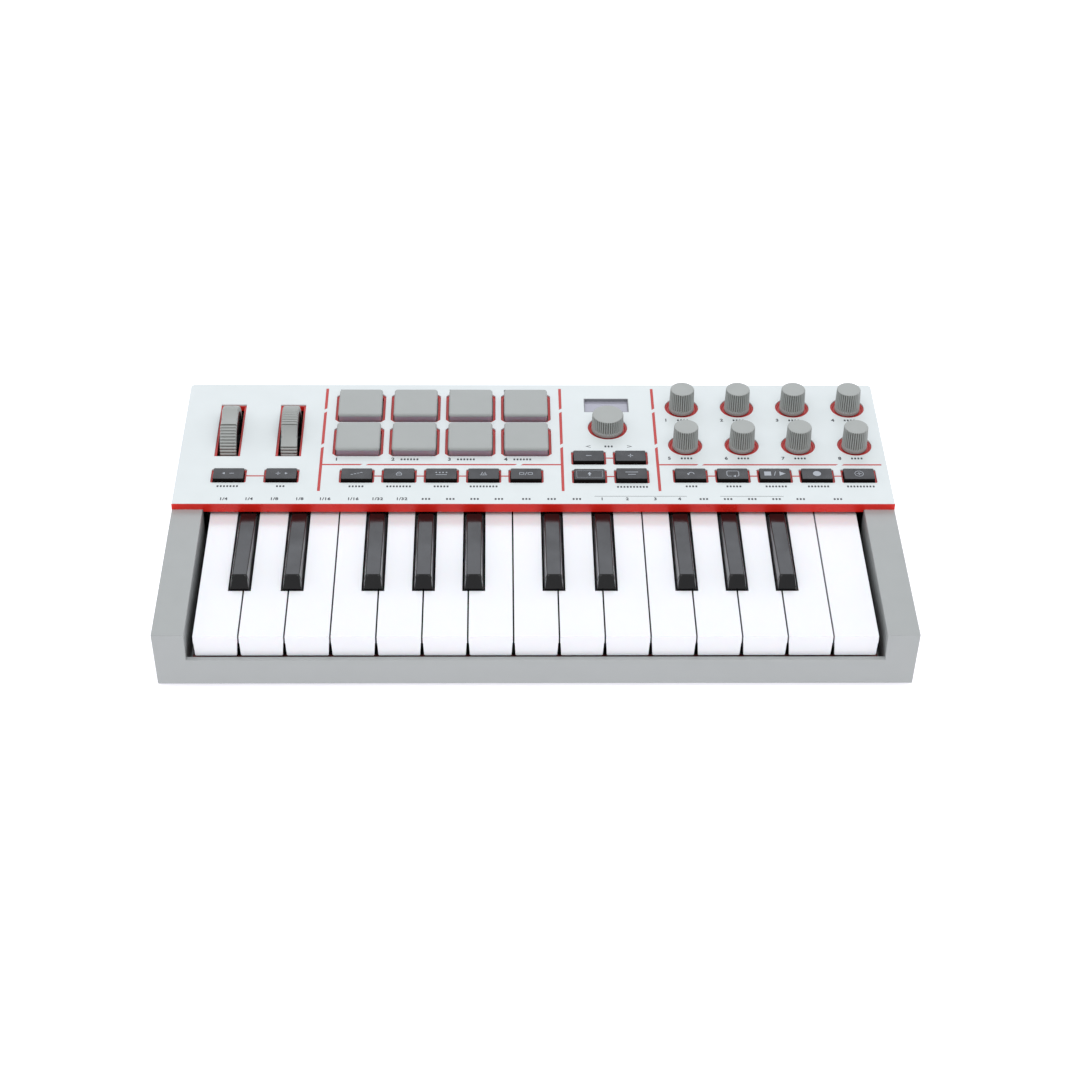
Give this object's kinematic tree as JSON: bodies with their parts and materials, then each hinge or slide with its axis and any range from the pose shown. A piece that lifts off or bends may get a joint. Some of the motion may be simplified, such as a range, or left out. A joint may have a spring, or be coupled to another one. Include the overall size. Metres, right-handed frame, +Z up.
{
  "type": "midi keyboard",
  "caption": "Compact MIDI keyboard with mini keys, pads, fluted knobs, buttons, pitch and modulation wheels and a small display",
  "frame": {"origin": "on the desk, under the middle of the keyboard's footprint", "axes": "+X to the player's right along the keys, +Y away from the player towards the back, +Z up"},
  "size_m": [0.3344, 0.1854, 0.0441],
  "materials": {
    "case_grey": "fine matte moulding texture",
    "accent_red": "polished",
    "panel_white": "smooth satin",
    "pad_silicone": "soft matte silicone",
    "display": "clear window over a dark display",
    "keybed_black": "matte",
    "circuit_green": "solder mask",
    "foot_rubber": "matte",
    "control_grey": "matte",
    "button_charcoal": "satin",
    "key_white": "polished",
    "key_black": "satin top, polished sides",
    "steel": "zinc plated",
    "print_dark": "printed ink",
    "print_pale": "printed ink"
  },
  "bodies": {
    "root": {"bottom_case": "case_grey", "accent_panel": "accent_red", "top_panel": "panel_white", "pad_mat": "pad_silicone", "display_module": "display", "keybed_frame": "keybed_black", "circuit_boards": "circuit_green", "feet_and_screws": "foot_rubber"},
    "pitch_wheel": {"pitch_wheel": "control_grey"},
    "modulation_wheel": {"modulation_wheel": "control_grey"},
    "selector_knob": {"selector_knob": "control_grey"},
    "knob_1": {"knob_1": "control_grey"},
    "knob_2": {"knob_2": "control_grey"},
    "knob_3": {"knob_3": "control_grey"},
    "knob_4": {"knob_4": "control_grey"},
    "knob_5": {"knob_5": "control_grey"},
    "knob_6": {"knob_6": "control_grey"},
    "knob_7": {"knob_7": "control_grey"},
    "knob_8": {"knob_8": "control_grey"},
    "octave_down_button": {"octave_down_button": "button_charcoal"},
    "octave_up_button": {"octave_up_button": "button_charcoal"},
    "arp_button": {"arp_button": "button_charcoal"},
    "latch_button": {"latch_button": "button_charcoal"},
    "repeat_button": {"repeat_button": "button_charcoal"},
    "tempo_button": {"tempo_button": "button_charcoal"},
    "bank_button": {"bank_button": "button_charcoal"},
    "minus_button": {"minus_button": "button_charcoal"},
    "plus_button": {"plus_button": "button_charcoal"},
    "shift_button": {"shift_button": "button_charcoal"},
    "preset_button": {"preset_button": "button_charcoal"},
    "undo_button": {"undo_button": "button_charcoal"},
    "loop_button": {"loop_button": "button_charcoal"},
    "play_button": {"play_button": "button_charcoal"},
    "record_button": {"record_button": "button_charcoal"},
    "overdub_button": {"overdub_button": "button_charcoal"},
    "white_key_01": {"white_key_01": "key_white"},
    "white_key_02": {"white_key_02": "key_white"},
    "white_key_03": {"white_key_03": "key_white"},
    "white_key_04": {"white_key_04": "key_white"},
    "white_key_05": {"white_key_05": "key_white"},
    "white_key_06": {"white_key_06": "key_white"},
    "white_key_07": {"white_key_07": "key_white"},
    "white_key_08": {"white_key_08": "key_white"},
    "white_key_09": {"white_key_09": "key_white"},
    "white_key_10": {"white_key_10": "key_white"},
    "white_key_11": {"white_key_11": "key_white"},
    "white_key_12": {"white_key_12": "key_white"},
    "white_key_13": {"white_key_13": "key_white"},
    "white_key_14": {"white_key_14": "key_white"},
    "white_key_15": {"white_key_15": "key_white"},
    "black_key_01": {"black_key_01": "key_black"},
    "black_key_02": {"black_key_02": "key_black"},
    "black_key_03": {"black_key_03": "key_black"},
    "black_key_04": {"black_key_04": "key_black"},
    "black_key_05": {"black_key_05": "key_black"},
    "black_key_06": {"black_key_06": "key_black"},
    "black_key_07": {"black_key_07": "key_black"},
    "black_key_08": {"black_key_08": "key_black"},
    "black_key_09": {"black_key_09": "key_black"},
    "black_key_10": {"black_key_10": "key_black"}
  },
  "joints": [
    {"name": "pitch_wheel_turn", "type": "hinge", "parent": "root", "child": "pitch_wheel", "pos_m": [-0.1447, 0.05465, 0.024], "axis": [-1, 0, 0], "range_deg": [-38, 38], "stiffness_Nm_per_rad": 0.05},
    {"name": "modulation_wheel_turn", "type": "hinge", "parent": "root", "child": "modulation_wheel", "pos_m": [-0.1159, 0.05465, 0.024], "axis": [-1, 0, 0], "range_deg": [0, 76]},
    {"name": "selector_knob_turn", "type": "hinge", "parent": "root", "child": "selector_knob", "pos_m": [0.036, 0.0568, 0.038], "axis": [0, 0, 1], "continuous": true},
    {"name": "knob_1_turn", "type": "hinge", "parent": "root", "child": "knob_1", "pos_m": [0.0726, 0.0735, 0.038], "axis": [0, 0, 1], "continuous": true},
    {"name": "knob_6_turn", "type": "hinge", "parent": "root", "child": "knob_6", "pos_m": [0.09955, 0.0426, 0.038], "axis": [0, 0, 1], "continuous": true},
    {"name": "octave_down_button_press", "type": "slide", "parent": "root", "child": "octave_down_button", "axis": [0, 0, -1], "range_m": [0, 0.0008], "stiffness_N_per_m": 800, "springref_m": -0.001},
    {"name": "arp_button_press", "type": "slide", "parent": "root", "child": "arp_button", "axis": [0, 0, -1], "range_m": [0, 0.0008], "stiffness_N_per_m": 800, "springref_m": -0.001},
    {"name": "plus_button_press", "type": "slide", "parent": "root", "child": "plus_button", "axis": [0, 0, -1], "range_m": [0, 0.0008], "stiffness_N_per_m": 800, "springref_m": -0.001},
    {"name": "preset_button_press", "type": "slide", "parent": "root", "child": "preset_button", "axis": [0, 0, -1], "range_m": [0, 0.0008], "stiffness_N_per_m": 800, "springref_m": -0.001},
    {"name": "play_button_press", "type": "slide", "parent": "root", "child": "play_button", "axis": [0, 0, -1], "range_m": [0, 0.0008], "stiffness_N_per_m": 800, "springref_m": -0.001},
    {"name": "white_key_01_press", "type": "hinge", "parent": "root", "child": "white_key_01", "pos_m": [0, 0.0233, 0.0188], "axis": [1, 0, 0], "range_deg": [0, 2.3], "stiffness_Nm_per_rad": 0.6, "springref_deg": -4.58},
    {"name": "white_key_04_press", "type": "hinge", "parent": "root", "child": "white_key_04", "pos_m": [0, 0.0233, 0.0188], "axis": [1, 0, 0], "range_deg": [0, 2.3], "stiffness_Nm_per_rad": 0.6, "springref_deg": -4.58},
    {"name": "white_key_09_press", "type": "hinge", "parent": "root", "child": "white_key_09", "pos_m": [0, 0.0233, 0.0188], "axis": [1, 0, 0], "range_deg": [0, 2.3], "stiffness_Nm_per_rad": 0.6, "springref_deg": -4.58},
    {"name": "white_key_15_press", "type": "hinge", "parent": "root", "child": "white_key_15", "pos_m": [0, 0.0233, 0.0188], "axis": [1, 0, 0], "range_deg": [0, 2.3], "stiffness_Nm_per_rad": 0.6, "springref_deg": -4.58},
    {"name": "black_key_01_press", "type": "hinge", "parent": "root", "child": "black_key_01", "pos_m": [0, 0.0233, 0.0188], "axis": [1, 0, 0], "range_deg": [0, 2.3], "stiffness_Nm_per_rad": 0.6, "springref_deg": -4.58},
    {"name": "black_key_03_press", "type": "hinge", "parent": "root", "child": "black_key_03", "pos_m": [0, 0.0233, 0.0188], "axis": [1, 0, 0], "range_deg": [0, 2.3], "stiffness_Nm_per_rad": 0.6, "springref_deg": -4.58},
    {"name": "black_key_10_press", "type": "hinge", "parent": "root", "child": "black_key_10", "pos_m": [0, 0.0233, 0.0188], "axis": [1, 0, 0], "range_deg": [0, 2.3], "stiffness_Nm_per_rad": 0.6, "springref_deg": -4.58},
    {"name": "knob_2_turn", "type": "hinge", "parent": "root", "child": "knob_2", "pos_m": [0.09955, 0.0735, 0.038], "axis": [0, 0, 1], "continuous": true},
    {"name": "knob_3_turn", "type": "hinge", "parent": "root", "child": "knob_3", "pos_m": [0.1265, 0.0735, 0.038], "axis": [0, 0, 1], "continuous": true},
    {"name": "knob_4_turn", "type": "hinge", "parent": "root", "child": "knob_4", "pos_m": [0.15345, 0.0735, 0.038], "axis": [0, 0, 1], "continuous": true},
    {"name": "knob_5_turn", "type": "hinge", "parent": "root", "child": "knob_5", "pos_m": [0.0726, 0.0426, 0.038], "axis": [0, 0, 1], "continuous": true},
    {"name": "knob_7_turn", "type": "hinge", "parent": "root", "child": "knob_7", "pos_m": [0.1265, 0.0426, 0.038], "axis": [0, 0, 1], "continuous": true},
    {"name": "knob_8_turn", "type": "hinge", "parent": "root", "child": "knob_8", "pos_m": [0.15345, 0.0426, 0.038], "axis": [0, 0, 1], "continuous": true},
    {"name": "octave_up_button_press", "type": "slide", "parent": "root", "child": "octave_up_button", "axis": [0, 0, -1], "range_m": [0, 0.0008], "stiffness_N_per_m": 800, "springref_m": -0.001},
    {"name": "latch_button_press", "type": "slide", "parent": "root", "child": "latch_button", "axis": [0, 0, -1], "range_m": [0, 0.0008], "stiffness_N_per_m": 800, "springref_m": -0.001},
    {"name": "repeat_button_press", "type": "slide", "parent": "root", "child": "repeat_button", "axis": [0, 0, -1], "range_m": [0, 0.0008], "stiffness_N_per_m": 800, "springref_m": -0.001},
    {"name": "tempo_button_press", "type": "slide", "parent": "root", "child": "tempo_button", "axis": [0, 0, -1], "range_m": [0, 0.0008], "stiffness_N_per_m": 800, "springref_m": -0.001},
    {"name": "bank_button_press", "type": "slide", "parent": "root", "child": "bank_button", "axis": [0, 0, -1], "range_m": [0, 0.0008], "stiffness_N_per_m": 800, "springref_m": -0.001},
    {"name": "minus_button_press", "type": "slide", "parent": "root", "child": "minus_button", "axis": [0, 0, -1], "range_m": [0, 0.0008], "stiffness_N_per_m": 800, "springref_m": -0.001},
    {"name": "shift_button_press", "type": "slide", "parent": "root", "child": "shift_button", "axis": [0, 0, -1], "range_m": [0, 0.0008], "stiffness_N_per_m": 800, "springref_m": -0.001},
    {"name": "undo_button_press", "type": "slide", "parent": "root", "child": "undo_button", "axis": [0, 0, -1], "range_m": [0, 0.0008], "stiffness_N_per_m": 800, "springref_m": -0.001},
    {"name": "loop_button_press", "type": "slide", "parent": "root", "child": "loop_button", "axis": [0, 0, -1], "range_m": [0, 0.0008], "stiffness_N_per_m": 800, "springref_m": -0.001},
    {"name": "record_button_press", "type": "slide", "parent": "root", "child": "record_button", "axis": [0, 0, -1], "range_m": [0, 0.0008], "stiffness_N_per_m": 800, "springref_m": -0.001},
    {"name": "overdub_button_press", "type": "slide", "parent": "root", "child": "overdub_button", "axis": [0, 0, -1], "range_m": [0, 0.0008], "stiffness_N_per_m": 800, "springref_m": -0.001},
    {"name": "white_key_02_press", "type": "hinge", "parent": "root", "child": "white_key_02", "pos_m": [0, 0.0233, 0.0188], "axis": [1, 0, 0], "range_deg": [0, 2.3], "stiffness_Nm_per_rad": 0.6, "springref_deg": -4.58},
    {"name": "white_key_03_press", "type": "hinge", "parent": "root", "child": "white_key_03", "pos_m": [0, 0.0233, 0.0188], "axis": [1, 0, 0], "range_deg": [0, 2.3], "stiffness_Nm_per_rad": 0.6, "springref_deg": -4.58},
    {"name": "white_key_05_press", "type": "hinge", "parent": "root", "child": "white_key_05", "pos_m": [0, 0.0233, 0.0188], "axis": [1, 0, 0], "range_deg": [0, 2.3], "stiffness_Nm_per_rad": 0.6, "springref_deg": -4.58},
    {"name": "white_key_06_press", "type": "hinge", "parent": "root", "child": "white_key_06", "pos_m": [0, 0.0233, 0.0188], "axis": [1, 0, 0], "range_deg": [0, 2.3], "stiffness_Nm_per_rad": 0.6, "springref_deg": -4.58},
    {"name": "white_key_07_press", "type": "hinge", "parent": "root", "child": "white_key_07", "pos_m": [0, 0.0233, 0.0188], "axis": [1, 0, 0], "range_deg": [0, 2.3], "stiffness_Nm_per_rad": 0.6, "springref_deg": -4.58},
    {"name": "white_key_08_press", "type": "hinge", "parent": "root", "child": "white_key_08", "pos_m": [0, 0.0233, 0.0188], "axis": [1, 0, 0], "range_deg": [0, 2.3], "stiffness_Nm_per_rad": 0.6, "springref_deg": -4.58},
    {"name": "white_key_10_press", "type": "hinge", "parent": "root", "child": "white_key_10", "pos_m": [0, 0.0233, 0.0188], "axis": [1, 0, 0], "range_deg": [0, 2.3], "stiffness_Nm_per_rad": 0.6, "springref_deg": -4.58},
    {"name": "white_key_11_press", "type": "hinge", "parent": "root", "child": "white_key_11", "pos_m": [0, 0.0233, 0.0188], "axis": [1, 0, 0], "range_deg": [0, 2.3], "stiffness_Nm_per_rad": 0.6, "springref_deg": -4.58},
    {"name": "white_key_12_press", "type": "hinge", "parent": "root", "child": "white_key_12", "pos_m": [0, 0.0233, 0.0188], "axis": [1, 0, 0], "range_deg": [0, 2.3], "stiffness_Nm_per_rad": 0.6, "springref_deg": -4.58},
    {"name": "white_key_13_press", "type": "hinge", "parent": "root", "child": "white_key_13", "pos_m": [0, 0.0233, 0.0188], "axis": [1, 0, 0], "range_deg": [0, 2.3], "stiffness_Nm_per_rad": 0.6, "springref_deg": -4.58},
    {"name": "white_key_14_press", "type": "hinge", "parent": "root", "child": "white_key_14", "pos_m": [0, 0.0233, 0.0188], "axis": [1, 0, 0], "range_deg": [0, 2.3], "stiffness_Nm_per_rad": 0.6, "springref_deg": -4.58},
    {"name": "black_key_02_press", "type": "hinge", "parent": "root", "child": "black_key_02", "pos_m": [0, 0.0233, 0.0188], "axis": [1, 0, 0], "range_deg": [0, 2.3], "stiffness_Nm_per_rad": 0.6, "springref_deg": -4.58},
    {"name": "black_key_04_press", "type": "hinge", "parent": "root", "child": "black_key_04", "pos_m": [0, 0.0233, 0.0188], "axis": [1, 0, 0], "range_deg": [0, 2.3], "stiffness_Nm_per_rad": 0.6, "springref_deg": -4.58},
    {"name": "black_key_05_press", "type": "hinge", "parent": "root", "child": "black_key_05", "pos_m": [0, 0.0233, 0.0188], "axis": [1, 0, 0], "range_deg": [0, 2.3], "stiffness_Nm_per_rad": 0.6, "springref_deg": -4.58},
    {"name": "black_key_06_press", "type": "hinge", "parent": "root", "child": "black_key_06", "pos_m": [0, 0.0233, 0.0188], "axis": [1, 0, 0], "range_deg": [0, 2.3], "stiffness_Nm_per_rad": 0.6, "springref_deg": -4.58},
    {"name": "black_key_07_press", "type": "hinge", "parent": "root", "child": "black_key_07", "pos_m": [0, 0.0233, 0.0188], "axis": [1, 0, 0], "range_deg": [0, 2.3], "stiffness_Nm_per_rad": 0.6, "springref_deg": -4.58},
    {"name": "black_key_08_press", "type": "hinge", "parent": "root", "child": "black_key_08", "pos_m": [0, 0.0233, 0.0188], "axis": [1, 0, 0], "range_deg": [0, 2.3], "stiffness_Nm_per_rad": 0.6, "springref_deg": -4.58},
    {"name": "black_key_09_press", "type": "hinge", "parent": "root", "child": "black_key_09", "pos_m": [0, 0.0233, 0.0188], "axis": [1, 0, 0], "range_deg": [0, 2.3], "stiffness_Nm_per_rad": 0.6, "springref_deg": -4.58}
  ]
}
